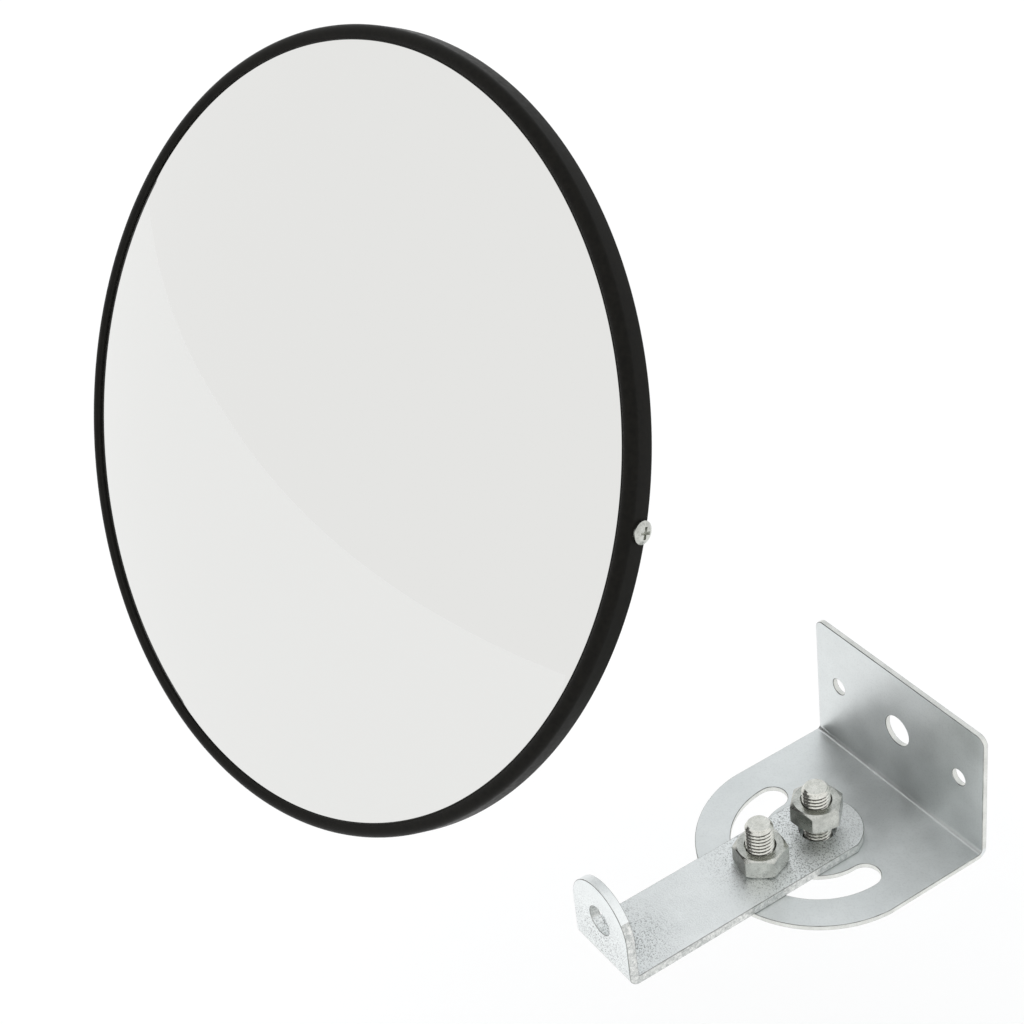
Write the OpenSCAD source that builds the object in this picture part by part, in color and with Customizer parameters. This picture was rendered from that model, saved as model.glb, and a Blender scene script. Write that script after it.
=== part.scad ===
// Convex security mirror: round mirror on a ball stud, with its zinc wall bracket.
// Frame: origin at the centre of the large wall hole, on the wall side of the flange.
// +X right, +Y into the wall, +Z up. Units are millimetres.

/* [Wall plate] */
// Width of the bent plate
plate_w = 86; // [60:1:120]
// Sheet thickness of the bent plate
plate_t = 2; // [1.5:0.1:4]
// Height of the wall flange above the shelf's top face
flange_h = 52; // [40:1:80]
// Shelf top face to the centre of the wall holes
wall_hole_z = 27.4; // [15:0.1:40]
// Large wall hole diameter
wall_hole_d = 12; // [6:0.5:16]
// Small wall hole diameter
screw_hole_d = 6.5; // [4:0.1:9]
// Distance between the two small wall holes
screw_hole_gap = 62.4; // [30:0.1:80]
// Wall face to the pivot
pivot_reach = 39.2; // [30:0.1:60]
// Radius of the shelf's round front, about the pivot
shelf_r = 43.2; // [30:0.1:60]
// Centre-line radius of the arc slot
slot_r = 25.2; // [15:0.1:35]
// Width of the arc slot
slot_w = 11; // [8.5:0.1:14]
// Half angle of the arc slot
slot_half = 90; // [40:1:90]

/* [Arm] */
// Width of the flat bar
arm_w = 30.6; // [20:0.1:40]
// Thickness of the flat bar
arm_t = 3.5; // [2:0.1:6]
// Pivot to the outer face of the upturned tab
arm_reach = 92.5; // [60:0.5:150]
// Shelf top face to the centre of the tab hole
tab_hole_z = 19.6; // [12:0.1:30]
// Tab hole diameter
tab_hole_d = 11; // [8.5:0.1:14]
// Pivot hole diameter in the arm
arm_pivot_d = 13; // [10.1:0.1:14]

/* [Bolts and nuts] */
// Bolt diameter
bolt_d = 10; // [8:1:12]
// Width across flats of the heads and nuts
hex_af = 17; // [13:1:19]
// Nut height
nut_h = 8; // [6:0.1:10]
// Bolt head height
head_h = 6.4; // [5:0.1:8]
// Pivot bolt end above the shelf's top face
pivot_bolt_top = 23.5; // [12:0.1:30]
// Clamp bolt end above the shelf's top face
clamp_bolt_top = 21.8; // [12:0.1:30]
// Height of the loosened pivot nut above the shelf's top face
pivot_nut_z = 9.5; // [3.6:0.1:14]

/* [Mirror] */
// Overall diameter over the edge trim
mirror_d = 290; // [200:10:800]
// Radius of the trim lip's inner edge
lip_r = 139.6; // [90:0.1:390]
// Height of the dome above its seat
dome_h = 22; // [10:1:80]
// Dome sheet thickness
dome_t = 2; // [1.5:0.1:4]
// Sealing foam thickness
foam_t = 1; // [0.5:0.1:3]
// Backing board thickness
board_t = 5; // [3:0.5:12]
// Depth of the trim behind the dome's seat
trim_back = 8.8; // [8:0.1:20]

/* [Ball joint] */
// Ball diameter
ball_d = 20; // [14:1:30]
// Dome seat to the ball centre behind it
ball_depth = 28; // [24:0.5:60]
// Length of the stud from the ball centre to its end
stud_len = 52; // [50:1:90]
// Ball centre to the washer face that meets the tab
stud_seat = 30; // [22:0.5:50]
// Lean of the mirror from square to the stud
lean = 28.2; // [0:0.1:28.2]

/* [Hidden] */
$fn = 72;
gap = 0.05;                    // running gap between faces that slide
bend_r = 1.6;                  // inside radius of the plate's bend
shelf_z = -wall_hole_z;        // shelf top face in the row frame
pivot_y = -pivot_reach;
ball_r = ball_d / 2;
rim_r = mirror_d / 2;
board_r = rim_r - 2.2;
board_back = dome_t + foam_t + board_t;    // dome seat back to the board's rear face
plate_back = board_back + 2;               // and to the rear face of the socket plate
cap_screw_r = 18.8;                        // cap screws' distance from the socket's axis
screw_a = 10;                              // the trim screw's angle round the rim
// where the ball stands beside the bracket, and the axis that the mirror leans about
ball_at = [-171.6, -95.4, 84.9];
lean_axis = [0.947, 0, -0.321];
zinc = [0.72, 0.74, 0.77];

module hex(af, h) { cylinder(h = h, d = af / cos(30), $fn = 6); }

// hexagon with the corners of both ends turned off by the usual cone
module hex_cone(af, h) {
  face_r = 0.475 * af;                     // radius of the round end face
  wide_r = face_r + 1 / tan(30);
  intersection() {
    hex(af, h);
    union() {
      cylinder(h = 1, r1 = face_r, r2 = wide_r);
      translate([0, 0, 1]) cylinder(h = h - 2, r = wide_r);
      translate([0, 0, h - 1]) cylinder(h = 1, r1 = wide_r, r2 = face_r);
    }
  }
}

// bolt with its head below z = 0 and its shank up to z = len
module bolt(len) {
  translate([0, 0, -head_h]) hex_cone(hex_af, head_h - 0.4);
  translate([0, 0, -0.41]) cylinder(h = 0.41, d = hex_af * 0.95);
  translate([0, 0, -0.1]) cylinder(h = len - 1.1, d = bolt_d);
  translate([0, 0, len - 1.2]) cylinder(h = 1.2, d1 = bolt_d, d2 = bolt_d - 2);
}

module nut(h = nut_h, bore = bolt_d + 0.1) {
  difference() {
    hex_cone(hex_af, h);
    translate([0, 0, -1]) cylinder(h = h + 2, d = bore);
    translate([0, 0, -0.01]) cylinder(h = 0.6, d1 = bore + 1.2, d2 = bore);
    translate([0, 0, h - 0.59]) cylinder(h = 0.6, d1 = bore, d2 = bore + 1.2);
  }
}

// flange outline in X and Z, with rounded top corners
module flange() {
  top = shelf_z + flange_h;
  c = 3.5;                     // corner radius
  difference() {
    union() {
      translate([-plate_w / 2, -plate_t, shelf_z + bend_r])
        cube([plate_w, plate_t, flange_h - bend_r - c]);
      translate([-plate_w / 2 + c, -plate_t, top - c - 0.01])
        cube([plate_w - 2 * c, plate_t, c + 0.01]);
      for (s = [-1, 1]) translate([s * (plate_w / 2 - c), 0, top - c])
        rotate([90, 0, 0]) cylinder(h = plate_t, r = c);
    }
    translate([0, 1, 0]) rotate([90, 0, 0]) cylinder(h = plate_t + 2, d = wall_hole_d);
    for (s = [-1, 1]) translate([s * screw_hole_gap / 2, 1, 0])
      rotate([90, 0, 0]) cylinder(h = plate_t + 2, d = screw_hole_d);
  }
}

module wall_plate() color(zinc) {
  ro = bend_r + plate_t;
  flange();
  difference() {
    union() {
      translate([-plate_w / 2, pivot_y, shelf_z - plate_t])
        cube([plate_w, pivot_reach - ro, plate_t]);
      intersection() {
        translate([0, pivot_y, shelf_z - plate_t]) cylinder(h = plate_t, r = shelf_r, $fn = 128);
        translate([-plate_w / 2, pivot_y - shelf_r - 1, shelf_z - plate_t])
          cube([plate_w, shelf_r + 1.01, plate_t]);
      }
    }
    translate([0, pivot_y, shelf_z - plate_t - 1]) cylinder(h = plate_t + 2, d = bolt_d + 0.15);
    // arc slot for the clamp bolt
    translate([0, pivot_y, shelf_z - plate_t - 1]) {
      rotate([0, 0, -90 - slot_half]) rotate_extrude(angle = 2 * slot_half, $fn = 128)
        translate([slot_r - slot_w / 2, 0]) square([slot_w, plate_t + 2]);
      for (a = [-90 - slot_half, -90 + slot_half]) rotate([0, 0, a])
        translate([slot_r, 0, 0]) cylinder(h = plate_t + 2, d = slot_w);
    }
  }
  // bend between the shelf and the flange
  translate([-plate_w / 2, -ro, shelf_z + bend_r]) rotate([90, 0, 90])
    rotate([0, 0, -90]) quarter_bend(bend_r, ro, plate_w);
}

// quarter bend, run along the local Z axis
module quarter_bend(ri, ro, w) {
  difference() {
    cylinder(h = w, r = ro);
    translate([0, 0, -1]) cylinder(h = w + 2, r = ri);
    translate([-ro - 1, -ro - 1, -1]) cube([ro + 1, 2 * ro + 2, w + 2]);
    translate([-ro - 1, -ro - 1, -1]) cube([2 * ro + 2, ro + 1, w + 2]);
  }
}

module swing_arm() color(zinc) {
  z0 = shelf_z + gap;
  ri = 0.4;                    // inside radius of the tab's bend
  ro = ri + arm_t;
  face = pivot_y - arm_reach;  // outer face of the tab
  hz = shelf_z + tab_hole_z;
  difference() {
    union() {
      intersection() {
        translate([0, pivot_y, z0]) cylinder(h = arm_t, r = 16.2);
        translate([-arm_w / 2, pivot_y - 17, z0]) cube([arm_w, 34, arm_t]);
      }
      translate([-arm_w / 2, face + ro, z0]) cube([arm_w, arm_reach - ro - 4, arm_t]);
    }
    translate([0, pivot_y, z0 - 1]) cylinder(h = arm_t + 2, d = arm_pivot_d);
    translate([0, pivot_y - slot_r, z0 - 1]) cylinder(h = arm_t + 2, d = bolt_d + 0.4);
  }
  translate([-arm_w / 2, face + ro, z0 + ro]) rotate([90, 0, 90])
    rotate([0, 0, 180]) quarter_bend(ri, ro, arm_w);
  difference() {
    union() {
      translate([-arm_w / 2, face, z0 + ro]) cube([arm_w, arm_t, hz - z0 - ro]);
      translate([0, face + arm_t, hz]) rotate([90, 0, 0]) cylinder(h = arm_t, d = arm_w);
    }
    translate([0, face + arm_t + 1, hz]) rotate([90, 0, 0]) cylinder(h = arm_t + 2, d = tab_hole_d);
  }
}

module pivot_bolt() color(zinc) translate([0, pivot_y, shelf_z - plate_t - gap])
  bolt(plate_t + gap + pivot_bolt_top);
module pivot_nut() color(zinc) translate([0, pivot_y, shelf_z + pivot_nut_z])
  rotate([0, 0, 12]) nut();
module clamp_bolt() color(zinc) translate([0, pivot_y - slot_r, shelf_z - plate_t - gap])
  rotate([0, 0, 20]) bolt(plate_t + gap + clamp_bolt_top);
module clamp_nut() color(zinc) translate([0, pivot_y - slot_r, shelf_z + arm_t + 2 * gap])
  rotate([0, 0, -10]) nut();

// stud parts: local +Z runs along the stud, from the ball centre
module on_stud() translate(ball_at) rotate([-90, 0, 0]) children();

module ball_stud() color(zinc) on_stud() {
  rotate_extrude($fn = 96) intersection() {
    circle(r = ball_r, $fn = 96);
    translate([0, -ball_r]) square([ball_r, 2 * ball_r - 0.8]);
  }
  translate([0, 0, ball_r - 2.5]) cylinder(h = 6, d = 8);
  translate([0, 0, ball_r + 2.5]) cylinder(h = 1, d1 = 8, d2 = bolt_d);
  translate([0, 0, ball_r + 3.5]) cylinder(h = stud_len - ball_r - 4.5, d = bolt_d);
  translate([0, 0, stud_len - 1.01]) cylinder(h = 1.01, d1 = bolt_d, d2 = bolt_d - 2);
}
module washer() difference() {
  cylinder(h = 2, d = 20);
  translate([0, 0, -1]) cylinder(h = 4, d = 10.5);
}
module stud_front_nut() color(zinc) on_stud() translate([0, 0, stud_seat - 2 - nut_h]) nut();
module stud_front_washer() color(zinc) on_stud() translate([0, 0, stud_seat - 2]) washer();
module stud_rear_washer() color(zinc) on_stud() translate([0, 0, stud_seat + arm_t + 0.1]) washer();
module stud_rear_nut() color(zinc) on_stud()
  translate([0, 0, stud_seat + arm_t + 2.1]) rotate([0, 0, 17]) nut();

// mirror parts: local +Z is the way the face looks, z = 0 at the dome's seat
module on_mirror() translate(ball_at) rotate(a = -lean, v = lean_axis) rotate([90, 0, 0])
  translate([0, 0, ball_depth]) children();

module ball_socket() color([0.1, 0.1, 0.1]) on_mirror() translate([0, 0, -ball_depth]) {
  seat = ball_depth - plate_back;          // ball centre to the plate's rear face
  difference() {
    union() {
      translate([0, 0, seat]) cylinder(h = 2, d = 90, $fn = 96);
      translate([0, 0, 0.1]) cylinder(h = seat, d = 30);
      translate([0, 0, seat - 2]) cylinder(h = 2.01, d1 = 30, d2 = 34);
      for (a = [30 : 120 : 270]) rotate([0, 0, a]) translate([cap_screw_r, 0, 0.1])
        cylinder(h = seat, d = 10);
    }
    rotate_extrude($fn = 96) intersection() {
      circle(r = ball_r + 0.05, $fn = 96);
      translate([0, -ball_r - 1]) square([ball_r + 1, 2 * ball_r + 2]);
    }
    for (a = [30 : 120 : 270]) rotate([0, 0, a]) translate([cap_screw_r, 0, -1])
      cylinder(h = 12, d = 4.1);
    for (a = [0 : 90 : 270]) rotate([0, 0, a]) translate([37, 0, seat - 1])
      cylinder(h = 4, d = 5.4);
  }
}

module socket_cap() color([0.1, 0.1, 0.1]) on_mirror() translate([0, 0, -ball_depth])
  difference() {
    union() {
      translate([0, 0, -5]) cylinder(h = 5, d = 30);
      for (a = [30 : 120 : 270]) rotate([0, 0, a]) translate([cap_screw_r, 0, -3])
        cylinder(h = 3, d = 10);
    }
    rotate_extrude($fn = 96) intersection() {
      circle(r = ball_r + 0.05, $fn = 96);
      translate([0, -ball_r - 1]) square([ball_r + 1, 2 * ball_r + 2]);
    }
    // mouth, flared so that the stud can lean
    translate([0, 0, -6]) cylinder(h = 7, r1 = 4.8 + 6 * tan(30), r2 = 4.8 - tan(30));
    for (a = [30 : 120 : 270]) rotate([0, 0, a]) translate([cap_screw_r, 0, -6])
      cylinder(h = 8, d = 4.3);
  }

module pan_screw(d, len, head, hh) {
  difference() {
    union() {
      cylinder(h = 0.5 * hh, d = head);
      translate([0, 0, 0.5 * hh]) cylinder(h = 0.5 * hh, d1 = head, d2 = 0.66 * head);
    }
    // cross recess
    for (a = [0, 90]) rotate([0, 0, a]) translate([-0.27 * head, -0.07 * head, 0.35 * hh])
      cube([0.54 * head, 0.14 * head, hh]);
  }
  translate([0, 0, -len]) cylinder(h = len + 0.1, d = d);
}

module cap_screw(a) color(zinc) on_mirror() translate([0, 0, -ball_depth]) rotate([0, 0, a])
  translate([cap_screw_r, 0, -3]) rotate([180, 0, 0]) pan_screw(4, 12, 7, 2.6);
module cap_screw_1() cap_screw(30);
module cap_screw_2() cap_screw(150);
module cap_screw_3() cap_screw(270);
module socket_screw(a) color(zinc) on_mirror() rotate([0, 0, a])
  translate([37, 0, -plate_back]) rotate([180, 0, 0]) pan_screw(5, 10.2, 10, 3.2);
module socket_screw_1() socket_screw(0);
module socket_screw_2() socket_screw(90);
module socket_screw_3() socket_screw(180);
module socket_screw_4() socket_screw(270);

// flanged nut let into the front of the board
module tee_nut(a) color(zinc) on_mirror() rotate([0, 0, a]) translate([37, 0, -board_back])
  difference() {
    union() {
      translate([0, 0, board_t]) cylinder(h = 1.2, d = 17);
      translate([0, 0, 0.4]) cylinder(h = board_t - 0.39, d = 7.2);
    }
    translate([0, 0, -1]) cylinder(h = 12, d = 5.1);
  }
module tee_nut_1() tee_nut(0);
module tee_nut_2() tee_nut(90);
module tee_nut_3() tee_nut(180);
module tee_nut_4() tee_nut(270);

module backing_board() color([0.3, 0.3, 0.29]) on_mirror() difference() {
  translate([0, 0, -board_back]) cylinder(h = board_t, r = board_r, $fn = 160);
  for (a = [0 : 90 : 270]) rotate([0, 0, a]) translate([37, 0, -board_back - 1])
    cylinder(h = board_t + 2, d = 7.3);
  rotate([0, 0, screw_a]) translate([board_r + 1, 0, -board_back + board_t / 2])
    rotate([0, -90, 0]) cylinder(h = 20, d = 3.7);
}

module foam_ring() color([0.2, 0.2, 0.2]) on_mirror() translate([0, 0, -dome_t - foam_t])
  difference() {
    cylinder(h = foam_t, r = board_r, $fn = 160);
    translate([0, 0, -1]) cylinder(h = foam_t + 2, r = board_r - 8, $fn = 160);
  }

module convex_mirror() color([0.86, 0.86, 0.85]) on_mirror() {
  r0 = lip_r + 0.2;                        // foot of the dome
  rs = (r0 * r0 + dome_h * dome_h) / (2 * dome_h);
  rotate_extrude($fn = 160) {
    difference() {
      translate([0, dome_h - rs]) circle(r = rs, $fn = 720);
      translate([0, dome_h - rs]) circle(r = rs - dome_t, $fn = 720);
      translate([-600, -1200]) square([1200, 1200]);
      translate([-600, -600]) square([600, 1200]);
    }
    translate([r0 - 6.6, -dome_t]) square([board_r - r0 + 6.6, dome_t]);
  }
}

// moulded edge: low inner lip, groove, rounded shoulder, flat band and rear lip
module edge_trim() color([0.12, 0.115, 0.1]) on_mirror() difference() {
  shoulder = 3;                            // radius between the front and the band
  rear = 1.5;                              // radius at the rear corner
  rotate_extrude($fn = 160) difference() {
    union() {
      translate([lip_r + 0.55, 0.35]) circle(r = 0.5, $fn = 24);
      translate([lip_r + 0.55, 0.04]) square([2, 0.81]);
      translate([lip_r + 1.9, 0.04]) square([rim_r - lip_r - 4, 0.6]);
      translate([rim_r - shoulder, 1.3 - shoulder]) circle(r = shoulder, $fn = 48);
      translate([rim_r - shoulder, rear - trim_back])
        square([shoulder, trim_back + 1.3 - rear - shoulder]);
      translate([rim_r - rear, rear - trim_back]) circle(r = rear, $fn = 24);
      translate([rim_r - 6.5, -trim_back]) square([6.5 - rear, 2]);
    }
    // channel that grips the dome, the foam and the board
    translate([rim_r - 12, -board_back - 0.02])
      square([12 - rim_r + board_r + 0.08, board_back + 0.06]);
  }
  rotate([0, 0, screw_a]) translate([rim_r - 4, 0, -board_back + board_t / 2])
    rotate([0, 90, 0]) cylinder(h = 6, d = 4.3);
}

module trim_screw() color(zinc) on_mirror() rotate([0, 0, screw_a])
  translate([rim_r + 0.02, 0, -board_back + board_t / 2]) rotate([0, 90, 0])
    pan_screw(3.6, 19, 8, 1.9);

wall_plate();
swing_arm();
pivot_bolt();
pivot_nut();
clamp_bolt();
clamp_nut();
ball_stud();
stud_front_nut();
stud_front_washer();
stud_rear_washer();
stud_rear_nut();
ball_socket();
socket_cap();
cap_screw_1();
cap_screw_2();
cap_screw_3();
socket_screw_1();
socket_screw_2();
socket_screw_3();
socket_screw_4();
tee_nut_1();
tee_nut_2();
tee_nut_3();
tee_nut_4();
backing_board();
foam_ring();
convex_mirror();
edge_trim();
trim_screw();
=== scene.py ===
"""Looks for the convex security mirror and its zinc wall bracket.

The frame is in metres: origin at the centre of the bracket's large wall hole, +Y into the wall, +Z up.
"""
import math

import bmesh
import bpy
from mathutils import Matrix, Vector


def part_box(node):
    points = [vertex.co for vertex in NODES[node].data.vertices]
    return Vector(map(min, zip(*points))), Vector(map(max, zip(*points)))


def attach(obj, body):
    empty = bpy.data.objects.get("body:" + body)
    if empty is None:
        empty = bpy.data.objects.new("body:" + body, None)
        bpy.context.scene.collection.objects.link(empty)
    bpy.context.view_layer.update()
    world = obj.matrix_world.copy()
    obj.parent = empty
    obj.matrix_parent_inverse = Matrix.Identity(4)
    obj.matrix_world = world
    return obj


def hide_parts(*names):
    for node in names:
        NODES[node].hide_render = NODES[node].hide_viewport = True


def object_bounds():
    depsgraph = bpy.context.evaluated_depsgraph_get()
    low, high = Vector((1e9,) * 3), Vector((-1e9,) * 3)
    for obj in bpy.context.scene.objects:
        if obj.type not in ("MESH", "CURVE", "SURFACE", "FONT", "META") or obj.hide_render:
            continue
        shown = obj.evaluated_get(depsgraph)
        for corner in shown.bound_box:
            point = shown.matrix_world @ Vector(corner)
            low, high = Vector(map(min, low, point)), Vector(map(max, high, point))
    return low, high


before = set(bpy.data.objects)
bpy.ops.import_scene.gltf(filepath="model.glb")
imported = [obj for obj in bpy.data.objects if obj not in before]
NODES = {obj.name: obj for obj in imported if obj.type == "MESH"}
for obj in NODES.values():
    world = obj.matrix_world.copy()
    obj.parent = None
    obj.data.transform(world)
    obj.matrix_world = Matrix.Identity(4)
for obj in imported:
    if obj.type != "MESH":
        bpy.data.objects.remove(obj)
CAD_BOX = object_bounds()
MM = 0.001
PITCH = 1.5 * MM                 # M10 coarse thread
THREAD_R = 5 * MM
THREAD_DEPTH = 0.9 * MM
THREAD_SLOPE = 2.6               # how fast a flank falls, in thread depths per pitch
THREAD_CREST = 0.12              # what is cut off the flanks to leave the crest flat
ROOT_SHADE_FROM = 0.55                 # faces deeper than this part of the thread take the painted shade of the root
CHAMFER_DEPTH = 1.1 * MM         # at a rod's end
CHAMFER_SLOPE = 0.8
START_LEAD = 0.6 * MM            # how much of its chamfer a rod's start leaves out
ROD_SINK = 0.3 * MM              # how far a rod starts inside its bolt's head
HEAD_H = 6.4 * MM                # hexagon head of the bolts
BALL_R = 10 * MM
NECK = 3.6 * MM                  # plain neck between the ball and its thread
GREY_SIDE = Vector((-0.35, 0.65, 0.67))     # where the room is grey
GREY_FADE = (0.72, 0.98)         # cosines of the angles from there at which grey begins and is full
GREY_TONE = (0.84, 0.86, 0.87, 1)
SPECK_AND_SHADE_ELSEWHERE = 0.12            # how much of the dark specks and painted shade shows outside the spots
FLOOR_DROP = 400 * MM            # the part hangs on a wall, this far above the floor
FLOOR_HALF = 12.0                # half the floor's side

CAMERA_AT = Vector((442.4, -387.4, 527.5)) * MM
CAMERA_RIGHT = Vector((0.5496, 0.8278, -0.1128))
CAMERA_BACK = Vector((0.7117, -0.3932, 0.5822))
LENS_MM = 77.34
SUN_WAY = (0.3, 0.35, -1.0)
SUN_STRENGTH = 0.40
SUN_SPREAD_DEG = 60

BREAK_WIDTH = 0.22 * MM          # of a sheet's broken edges
BREAK_FROM_DEG = 50              # edges sharper than this are broken
TURNED_STEPS = 540               # faces round a turned piece
CAD_SMOOTH_DEG = 30              # faces that meet at less than this are shaded as one
THREAD_SMOOTH_DEG = 32
ROUND_SMOOTH_DEG = 35

# the mirror's own frame: the ball that it leans on, its lean, and the sizes that CAD gives it
BALL_AT = Vector((-171.6, -95.4, 84.9)) * MM
LEAN_AXIS = Vector((0.947, 0, -0.321))
LEAN_DEG = 28.2
BALL_DEPTH = 28 * MM
RIM_R = 145 * MM
LIP_R = 139.6 * MM
BOARD_R = 142.8 * MM
DOME_H = 22 * MM
DOME_T = 2 * MM
TRIM_BACK = 8.8 * MM
BOARD_BACK = 8 * MM


def link(item):
    bpy.context.scene.collection.objects.link(item)


def smooth(mesh, degrees):
    """Shades a mesh smooth, except across edges sharper than the angle."""
    for polygon in mesh.polygons:
        polygon.use_smooth = True
    mesh.set_sharp_from_angle(angle=math.radians(degrees))


# ---------------------------------------------------------------- camera, light and floor

def make_camera():
    """The main view: from the front right, above, with a slight roll."""
    data = bpy.data.cameras.new("camera")
    data.sensor_width = 36
    data.lens = LENS_MM
    data.clip_start = 0.01
    camera = bpy.data.objects.new("camera", data)
    link(camera)
    right, back = CAMERA_RIGHT.normalized(), CAMERA_BACK.normalized()
    turn = Matrix((right, back.cross(right), back)).transposed().to_4x4()
    camera.matrix_world = Matrix.Translation(CAMERA_AT) @ turn
    bpy.context.scene.camera = camera


def make_floor():
    """A plain pale floor, well below the part, which hangs on a wall."""
    z = CAD_BOX[0][2] - FLOOR_DROP
    mesh = bpy.data.meshes.new("floor")
    corners = [(x * FLOOR_HALF, y * FLOOR_HALF, z) for x, y in ((-1, -1), (1, -1), (1, 1), (-1, 1))]
    mesh.from_pydata(corners, [], [(0, 1, 2, 3)])
    floor = bpy.data.objects.new("floor", mesh)
    link(floor)
    material, shader = new_material("pale_floor")
    shader.inputs["Base Color"].default_value = (0.95, 0.95, 0.95, 1)
    shader.inputs["Roughness"].default_value = 0.9
    shader.inputs["Specular IOR Level"].default_value = 0.1
    mesh.materials.append(material)


def make_world():
    """An even white room, with one soft grey side that gives the plating its gradients."""
    world = bpy.data.worlds.new("studio")
    bpy.context.scene.world = world
    world.use_nodes = True
    tree = world.node_tree
    shader = tree.nodes["Background"]
    place = tree.nodes.new("ShaderNodeTexCoord")
    dot = tree.nodes.new("ShaderNodeVectorMath")
    dot.operation = "DOT_PRODUCT"
    dot.inputs[1].default_value = GREY_SIDE.normalized()
    ramp = tree.nodes.new("ShaderNodeValToRGB")
    ramp.color_ramp.interpolation = "EASE"
    ramp.color_ramp.elements[0].position = GREY_FADE[0]
    ramp.color_ramp.elements[0].color = (1, 1, 1, 1)
    ramp.color_ramp.elements[1].position = GREY_FADE[1]
    ramp.color_ramp.elements[1].color = GREY_TONE
    tree.links.new(place.outputs["Generated"], dot.inputs[0])
    tree.links.new(dot.outputs["Value"], ramp.inputs["Fac"])
    tree.links.new(ramp.outputs["Color"], shader.inputs["Color"])
    shader.inputs["Strength"].default_value = 1.0


def make_sun():
    """A large soft light from far away, so that the floor is lit alike everywhere."""
    data = bpy.data.lights.new("soft_key", "SUN")
    data.energy = SUN_STRENGTH
    data.angle = math.radians(SUN_SPREAD_DEG)
    light = bpy.data.objects.new("soft_key", data)
    light.rotation_euler = Vector(SUN_WAY).to_track_quat("-Z", "Y").to_euler()
    light.visible_glossy = False         # or it would stand in the mirror as a disc
    link(light)


# ---------------------------------------------------------------- materials

def new_material(name):
    material = bpy.data.materials.new(name)
    material.use_nodes = True
    return material, material.node_tree.nodes["Principled BSDF"]


def noise(tree, scale, detail=4.0, roughness=0.6):
    node = tree.nodes.new("ShaderNodeTexNoise")
    node.inputs["Scale"].default_value = scale
    node.inputs["Detail"].default_value = detail
    node.inputs["Roughness"].default_value = roughness
    place = tree.nodes.new("ShaderNodeTexCoord")
    tree.links.new(place.outputs["Object"], node.inputs["Vector"])
    return node


def spread(tree, source, low, high, start=0.35, end=0.65):
    """Maps a 0 to 1 value onto a colour or number between low and high."""
    if isinstance(low, tuple):
        ramp = tree.nodes.new("ShaderNodeValToRGB")
        ramp.color_ramp.elements[0].position = start
        ramp.color_ramp.elements[0].color = low
        ramp.color_ramp.elements[1].position = end
        ramp.color_ramp.elements[1].color = high
        tree.links.new(source, ramp.inputs["Fac"])
        return ramp.outputs["Color"]
    span = tree.nodes.new("ShaderNodeMapRange")
    span.inputs["From Min"].default_value = start
    span.inputs["From Max"].default_value = end
    span.inputs["To Min"].default_value = low
    span.inputs["To Max"].default_value = high
    tree.links.new(source, span.inputs["Value"])
    return span.outputs["Result"]


def bump(tree, shader, source, height):
    node = tree.nodes.new("ShaderNodeBump")
    node.inputs["Strength"].default_value = 1.0
    node.inputs["Distance"].default_value = height
    tree.links.new(source, node.inputs["Height"])
    tree.links.new(node.outputs["Normal"], shader.inputs["Normal"])


def speck_and_shade_mask(tree, spots):
    """1 within each spot's inner distance of its centre, fading to a little at its outer distance."""
    place = tree.nodes.new("ShaderNodeTexCoord")
    total = None
    for centre, inner, outer in spots:
        reach = tree.nodes.new("ShaderNodeVectorMath")
        reach.operation = "DISTANCE"
        reach.inputs[1].default_value = centre
        tree.links.new(place.outputs["Object"], reach.inputs[0])
        near = spread(tree, reach.outputs["Value"], 1.0, SPECK_AND_SHADE_ELSEWHERE, inner, outer)
        if total is not None:
            most = tree.nodes.new("ShaderNodeMath")
            most.operation = "MAXIMUM"
            tree.links.new(total, most.inputs[0])
            tree.links.new(near, most.inputs[1])
            near = most.outputs["Value"]
        total = near
    return total


def metal(name, dark, light, rough, clouds_per_m, grains_per_m, grain_height, grain_dark, speck_and_shade_spots=()):
    """Plated steel: clouded tone and roughness, under a fine grain of specks.

    The specks are everywhere, or mostly in the spots if any are given; on the bar the spots by the nuts
    are partly painted shade.
    """
    material, shader = new_material(name)
    tree = material.node_tree
    shader.inputs["Metallic"].default_value = 1.0
    clouds = noise(tree, clouds_per_m)
    grain = noise(tree, grains_per_m, detail=3.0, roughness=0.7)
    tone = spread(tree, clouds.outputs["Fac"], dark, light)
    speck = (grain_dark, grain_dark, grain_dark, 1)
    specks = spread(tree, grain.outputs["Fac"], speck, (1, 1, 1, 1), start=0.36, end=0.50)
    mix = tree.nodes.new("ShaderNodeMix")
    mix.data_type = "RGBA"
    mix.blend_type = "MULTIPLY"
    mix.inputs["Factor"].default_value = 1.0
    if speck_and_shade_spots:
        tree.links.new(speck_and_shade_mask(tree, speck_and_shade_spots), mix.inputs["Factor"])
    tree.links.new(tone, mix.inputs["A"])
    tree.links.new(specks, mix.inputs["B"])
    tree.links.new(mix.outputs["Result"], shader.inputs["Base Color"])
    tree.links.new(spread(tree, clouds.outputs["Fac"], rough[0], rough[1]), shader.inputs["Roughness"])
    bump(tree, shader, grain.outputs["Fac"], grain_height)
    return material


def zinc_sheet():
    dark, light = (0.74, 0.77, 0.77, 1), (0.84, 0.87, 0.87, 1)
    return metal("zinc_sheet", dark, light, rough=(0.36, 0.46), clouds_per_m=35, grains_per_m=1400,
                 grain_height=0.03 * MM, grain_dark=0.94)


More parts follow.
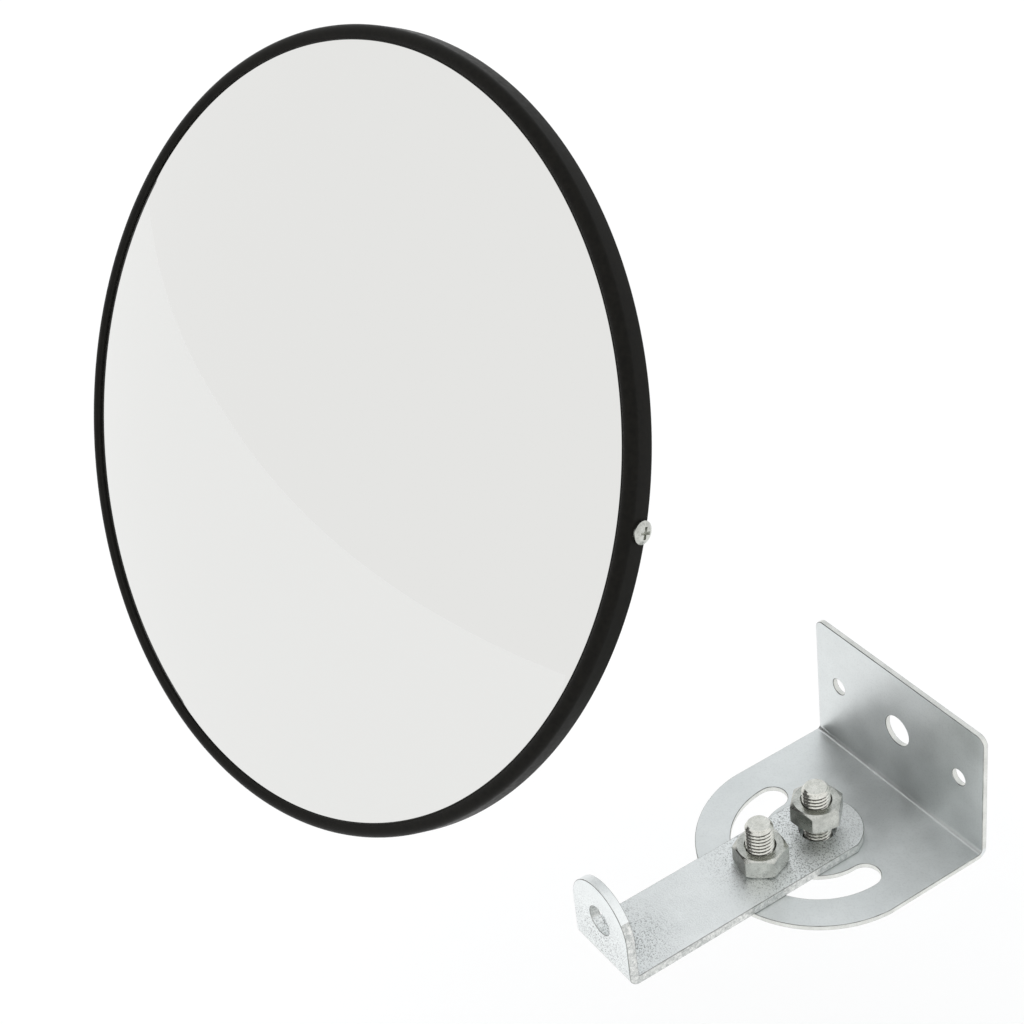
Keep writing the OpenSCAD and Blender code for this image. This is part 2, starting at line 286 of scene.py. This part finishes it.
def zinc_bar():
    dark, light = (0.84, 0.87, 0.87, 1), (0.92, 0.95, 0.95, 1)
    # by the nuts the crowded dark specks are partly real stipple and partly painted shade cast by the
    # nuts; at the bend they darken the bar there
    by_the_nuts = (Vector((0, -52, -24)) * MM, 15 * MM, 34 * MM)
    at_the_bend = (Vector((0, -126, -20)) * MM, 8 * MM, 24 * MM)
    speck_and_shade_spots = (by_the_nuts, at_the_bend)
    return metal("zinc_bar", dark, light, rough=(0.34, 0.46), clouds_per_m=60, grains_per_m=1900,
                 grain_height=0.12 * MM, grain_dark=0.30, speck_and_shade_spots=speck_and_shade_spots)


def sheet_edge():
    dark, light = (0.66, 0.67, 0.64, 1), (0.80, 0.81, 0.78, 1)
    return metal("sheet_edge", dark, light, rough=(0.28, 0.40), clouds_per_m=150, grains_per_m=1800,
                 grain_height=0.04 * MM, grain_dark=0.9)


def broken_edge():
    dark, light = (0.20, 0.21, 0.20, 1), (0.42, 0.43, 0.42, 1)
    return metal("broken_edge", dark, light, rough=(0.30, 0.42), clouds_per_m=220, grains_per_m=1800,
                 grain_height=0.03 * MM, grain_dark=0.9)


def bar_edge():
    dark, light = (0.50, 0.52, 0.51, 1), (0.86, 0.87, 0.85, 1)
    return metal("bar_edge", dark, light, rough=(0.28, 0.46), clouds_per_m=700, grains_per_m=2400,
                 grain_height=0.08 * MM, grain_dark=0.7)


def zinc_fastener():
    dark, light = (0.46, 0.47, 0.44, 1), (0.66, 0.67, 0.63, 1)
    return metal("zinc_fastener", dark, light, rough=(0.15, 0.24), clouds_per_m=200, grains_per_m=1500,
                 grain_height=0.04 * MM, grain_dark=0.80)


def zinc_bolt():
    dark, light = (0.66, 0.66, 0.61, 1), (0.84, 0.84, 0.79, 1)
    return metal("zinc_bolt", dark, light, rough=(0.16, 0.28), clouds_per_m=260, grains_per_m=1500,
                 grain_height=0.04 * MM, grain_dark=0.85)


# painted shade: a dark material standing in for the shade deep in the thread's grooves
def thread_root_shade():
    dark, light = (0.10, 0.10, 0.09, 1), (0.20, 0.20, 0.18, 1)
    return metal("thread_root_shade", dark, light, rough=(0.30, 0.42), clouds_per_m=160, grains_per_m=1500,
                 grain_height=0.04 * MM, grain_dark=0.85)


def mirror_face():
    """Silvered acrylic: it gives back the pale room a little darker than it is."""
    material, shader = new_material("mirror_face")
    shader.inputs["Base Color"].default_value = (0.783, 0.783, 0.768, 1)
    shader.inputs["Metallic"].default_value = 1.0
    shader.inputs["Roughness"].default_value = 0.02
    return material


def black_trim():
    material, shader = new_material("black_trim")
    tree = material.node_tree
    fine = noise(tree, 500, detail=5.0)
    tone = spread(tree, fine.outputs["Fac"], (0.0050, 0.0048, 0.0040, 1), (0.0085, 0.0080, 0.0065, 1))
    tree.links.new(tone, shader.inputs["Base Color"])
    tree.links.new(spread(tree, fine.outputs["Fac"], 0.36, 0.48), shader.inputs["Roughness"])
    shader.inputs["Specular IOR Level"].default_value = 0.08
    bump(tree, shader, fine.outputs["Fac"], 0.02 * MM)
    return material


def board():
    material, shader = new_material("backing_board")
    tree = material.node_tree
    fibre = noise(tree, 420, detail=8.0, roughness=0.75)
    tone = spread(tree, fibre.outputs["Fac"], (0.055, 0.053, 0.050, 1), (0.105, 0.101, 0.096, 1))
    tree.links.new(tone, shader.inputs["Base Color"])
    shader.inputs["Roughness"].default_value = 0.75
    bump(tree, shader, fibre.outputs["Fac"], 0.08 * MM)
    return material


def foam():
    material, shader = new_material("sealing_foam")
    tree = material.node_tree
    cells = noise(tree, 1500, detail=3.0)
    tone = spread(tree, cells.outputs["Fac"], (0.02, 0.02, 0.02, 1), (0.06, 0.06, 0.06, 1))
    tree.links.new(tone, shader.inputs["Base Color"])
    shader.inputs["Roughness"].default_value = 0.95
    bump(tree, shader, cells.outputs["Fac"], 0.2 * MM)
    return material


def socket_black():
    material, shader = new_material("socket_black")
    tree = material.node_tree
    fine = noise(tree, 700, detail=4.0)
    tone = spread(tree, fine.outputs["Fac"], (0.018, 0.018, 0.018, 1), (0.03, 0.03, 0.03, 1))
    tree.links.new(tone, shader.inputs["Base Color"])
    tree.links.new(spread(tree, fine.outputs["Fac"], 0.35, 0.5), shader.inputs["Roughness"])
    bump(tree, shader, fine.outputs["Fac"], 0.05 * MM)
    return material


# ---------------------------------------------------------------- pieces that keep their CAD shape

def weld(mesh):
    """Joins a copy of a CAD mesh along its sharp edges, where it is split, so that a bevel acts there."""
    joined = bmesh.new()
    joined.from_mesh(mesh)
    bmesh.ops.remove_doubles(joined, verts=joined.verts, dist=0.001 * MM)
    joined.to_mesh(mesh)
    joined.free()
    custom = mesh.attributes.get("custom_normal")
    if custom is not None:
        mesh.attributes.remove(custom)


def dress(material, *names):
    """Puts one material on CAD nodes, with smooth shading across their curved faces."""
    for name in names:
        mesh = NODES[name].data
        mesh.materials.clear()
        mesh.materials.append(material)
        smooth(mesh, CAD_SMOOTH_DEG)


def dress_edges(material, name, is_edge):
    """Gives the faces that is_edge picks, such as a sheet's sheared edges, a material of their own."""
    mesh = NODES[name].data
    mesh.materials.append(material)
    for polygon in mesh.polygons:
        if is_edge(polygon.normal, polygon.center):
            polygon.material_index = len(mesh.materials) - 1


def soften(name, body, rim):
    """Replaces a sheet part by a copy with its sharp edges broken, in the material rim."""
    mesh = NODES[name].data.copy()
    weld(mesh)
    mesh.set_sharp_from_angle(angle=math.radians(CAD_SMOOTH_DEG))
    mesh.materials.append(rim)
    piece = bpy.data.objects.new(name + "_softened", mesh)
    link(piece)
    bevel = piece.modifiers.new("broken_edges", "BEVEL")
    bevel.material = len(mesh.materials) - 1
    bevel.width = BREAK_WIDTH
    bevel.segments = 2
    bevel.limit_method = "ANGLE"
    bevel.angle_limit = math.radians(BREAK_FROM_DEG)
    bevel.use_clamp_overlap = False
    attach(piece, body)
    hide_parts(name)


def dress_all():
    sheet, bar, bright = zinc_sheet(), zinc_bar(), zinc_fastener()
    dress(sheet, "wall_plate")
    dress(bar, "swing_arm")
    flange_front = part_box("wall_plate")[1].y - 2.5 * MM
    shelf_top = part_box("swing_arm")[0].z

    def sheared(normal, centre):
        """A cut side of the flange, or a cut side of the shelf."""
        on_flange = centre.y > flange_front and centre.z > shelf_top + 4 * MM
        on_shelf = centre.y < flange_front and centre.z < shelf_top
        return (on_flange and abs(normal.y) < 0.5) or (on_shelf and abs(normal.z) < 0.5)

    dress_edges(sheet_edge(), "wall_plate", sheared)
    dress_edges(bar_edge(), "swing_arm", lambda normal, _: abs(normal.z) < 0.5 and abs(normal.y) < 0.99)
    hardware = ("bolt", "nut", "screw", "washer", "ball_stud")
    dress(bright, *[name for name in NODES if any(word in name for word in hardware)])
    dress(board(), "backing_board")
    dress(foam(), "foam_ring")
    dress(socket_black(), "ball_socket", "socket_cap")
    rim = broken_edge()
    soften("wall_plate", "wall_bracket", rim)
    soften("swing_arm", "swing_arm", rim)


# ---------------------------------------------------------------- round pieces

def mirror_frame():
    """Places the mirror's own frame: +Z along the face's normal, z = 0 at the dome's seat."""
    lean = Matrix.Rotation(math.radians(-LEAN_DEG), 4, LEAN_AXIS)
    face = Matrix.Rotation(math.radians(90), 4, "X")
    return Matrix.Translation(BALL_AT) @ lean @ face @ Matrix.Translation(Vector((0, 0, BALL_DEPTH)))


def arc(r, z, radius, start, end, steps):
    """Points on a circle about (r, z), from one angle to another in degrees."""
    angles = [math.radians(start + (end - start) * k / steps) for k in range(steps + 1)]
    return [(r + radius * math.cos(a), z + radius * math.sin(a)) for a in angles]


def lathe(profile, place, name):
    """Turns a closed (r, z) outline round the local Z axis. A point on the axis is one vertex."""
    points, faces, rings = [], [], []
    for r, z in profile:
        count = TURNED_STEPS if r > 1e-7 else 1
        rings.append((len(points), count))
        for k in range(count):
            angle = math.tau * k / TURNED_STEPS
            points.append((r * math.cos(angle), r * math.sin(angle), z))
    for (a, count_a), (b, count_b) in zip(rings, rings[1:] + rings[:1]):
        if count_a == count_b == 1:
            continue
        for k in range(TURNED_STEPS):
            corners = [a + k % count_a, a + (k + 1) % count_a, b + (k + 1) % count_b, b + k % count_b]
            faces.append(list(dict.fromkeys(corners)))
    mesh = bpy.data.meshes.new(name)
    mesh.from_pydata(points, [], faces)
    mesh.transform(place)
    outward = bmesh.new()
    outward.from_mesh(mesh)
    bmesh.ops.recalc_face_normals(outward, faces=outward.faces)
    outward.to_mesh(mesh)
    outward.free()
    return mesh


def trim_profile():
    """The moulded edge: a bead on the mirror, a fine groove, a round shoulder, the band and a rear lip."""
    bead, bead_z, bead_r = LIP_R + 0.55 * MM, 0.35 * MM, 0.5 * MM
    groove_z, shoulder_z = 0.12 * MM, -1.7 * MM
    shoulder, corner = 3 * MM, 1.5 * MM
    rear_lip = RIM_R - 6.5 * MM
    channel, channel_back = BOARD_R + 0.08 * MM, -BOARD_BACK - 0.02 * MM
    points = arc(bead, bead_z, bead_r, 220, 0, 12)
    points += [(bead + 0.62 * MM, groove_z), (bead + 0.95 * MM, groove_z)]
    points += arc(RIM_R - shoulder, shoulder_z, shoulder, 128, 0, 20)
    points += arc(RIM_R - corner, corner - TRIM_BACK, corner, 0, -90, 10)
    points += [(rear_lip, -TRIM_BACK), (rear_lip, channel_back)]
    points += [(channel, channel_back), (channel, 0.04 * MM)]
    return points


def dome_profile():
    """The dome sheet: a cap of one sphere outside, one inside, and the flat rim that the trim holds."""
    foot = LIP_R + 0.2 * MM
    sphere = (foot ** 2 + DOME_H ** 2) / (2 * DOME_H)
    centre = DOME_H - sphere

    def cap(radius, steps):
        reach = math.acos(-centre / radius)
        angles = [reach * k / steps for k in range(steps + 1)]
        return [(radius * math.sin(a), centre + radius * math.cos(a)) for a in angles]

    outside, inside = cap(sphere, 64), cap(sphere - DOME_T, 32)
    rim = [(BOARD_R, 0), (BOARD_R, -DOME_T), (foot - 6.6 * MM, -DOME_T)]
    return outside + rim + inside[::-1]


def replace_round(node, profile, material):
    """Puts a smooth turned piece in the place of a CAD node of the mirror."""
    piece = bpy.data.objects.new(node + "_turned", lathe(profile, mirror_frame(), node + "_turned"))
    link(piece)
    piece.data.materials.append(material)
    smooth(piece.data, ROUND_SMOOTH_DEG)
    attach(piece, "mirror")
    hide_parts(node)


def turn_all():
    replace_round("edge_trim", trim_profile(), black_trim())
    replace_round("convex_mirror", dome_profile(), mirror_face())


# ---------------------------------------------------------------- threads

def thread_radius(z, angle, start, end):
    """The M10 thread's radius at a height and angle: sloped flanks, a narrow flat crest and root.

    Both ends are chamfered, the start less.
    """
    turn = (z / PITCH - angle / math.tau) % 1.0
    depth = min(1.0, max(0.0, THREAD_SLOPE * abs(turn - 0.5) - THREAD_CREST))
    chamfer = THREAD_R - CHAMFER_DEPTH + CHAMFER_SLOPE * min(z - start + START_LEAD, end - z)
    return min(THREAD_R - THREAD_DEPTH * depth, chamfer)


def threaded_rod(place, turn, start, end, name, bright, root_shade):
    """A closed rod along local Z, with a thread from end to end."""
    around, per_pitch = 64, 14
    rows = int((end - start) / PITCH * per_pitch)
    points, faces = [], []
    for row in range(rows + 1):
        z = start + (end - start) * row / rows
        for k in range(around):
            angle = math.tau * k / around
            radius = thread_radius(z, angle, start, end)
            points.append((radius * math.cos(angle), radius * math.sin(angle), z))
    for row in range(rows):
        for k in range(around):
            a, b = row * around + k, row * around + (k + 1) % around
            faces.append((a, b, b + around, a + around))
    faces.append(tuple(range(around - 1, -1, -1)))
    faces.append(tuple(rows * around + k for k in range(around)))
    mesh = bpy.data.meshes.new(name)
    mesh.from_pydata(points, [], faces)
    mesh.materials.append(bright)
    mesh.materials.append(root_shade)
    # faces down in the groove take the painted shade, except near the rod's ends
    groove = THREAD_R - ROOT_SHADE_FROM * THREAD_DEPTH
    for polygon in mesh.polygons:
        in_groove = math.hypot(polygon.center.x, polygon.center.y) < groove
        polygon.material_index = int(in_groove and start + PITCH < polygon.center.z < end - PITCH)
    mesh.transform(Matrix.Translation(place) @ turn)
    return mesh


def thread_bolt(node, body, axis_point, turn, start, end, bright, root_shade):
    """Replaces a CAD bolt by its own head or ball, joined to a threaded rod in place of its shank."""
    to_local = (Matrix.Translation(axis_point) @ turn).inverted()
    head = NODES[node].data.copy()
    cut = bmesh.new()
    cut.from_mesh(head)
    shank = []
    for vertex in cut.verts:
        local = to_local @ vertex.co
        if local.z > start - 0.2 * MM and math.hypot(local.x, local.y) < THREAD_R + 0.05 * MM:
            shank.append(vertex)
    bmesh.ops.delete(cut, geom=shank, context="VERTS")
    cut.to_mesh(head)
    cut.free()
    head.materials[0] = bright
    rod = threaded_rod(axis_point, turn, start - ROD_SINK, end, node + "_rod", bright, root_shade)
    piece = bpy.data.objects.new(node + "_threaded", head)
    other = bpy.data.objects.new(node + "_rod", rod)
    for item in (piece, other):
        link(item)
        smooth(item.data, THREAD_SMOOTH_DEG)
    bpy.ops.object.select_all(action="DESELECT")
    piece.select_set(True)
    other.select_set(True)
    bpy.context.view_layer.objects.active = piece
    bpy.ops.object.join()
    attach(piece, body)
    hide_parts(node)


def thread_all():
    bright, root_shade = zinc_bolt(), thread_root_shade()
    upright = Matrix.Identity(4)
    for node in ("pivot_bolt", "clamp_bolt"):
        low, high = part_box(node)
        middle = Vector(((low.x + high.x) / 2, (low.y + high.y) / 2, 0))
        thread_bolt(node, node, middle, upright, low.z + HEAD_H, high.z, bright, root_shade)
    low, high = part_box("ball_stud")
    centre = Vector(((low.x + high.x) / 2, low.y + BALL_R, (low.z + high.z) / 2))
    along = Matrix.Rotation(math.radians(-90), 4, "X")
    tip = high.y - centre.y
    thread_bolt("ball_stud", "ball_stud", centre, along, BALL_R + NECK, tip, bright, root_shade)


make_camera()
make_world()
make_floor()
make_sun()
dress_all()
turn_all()
thread_all()
bpy.context.scene.view_settings.view_transform = "Standard"
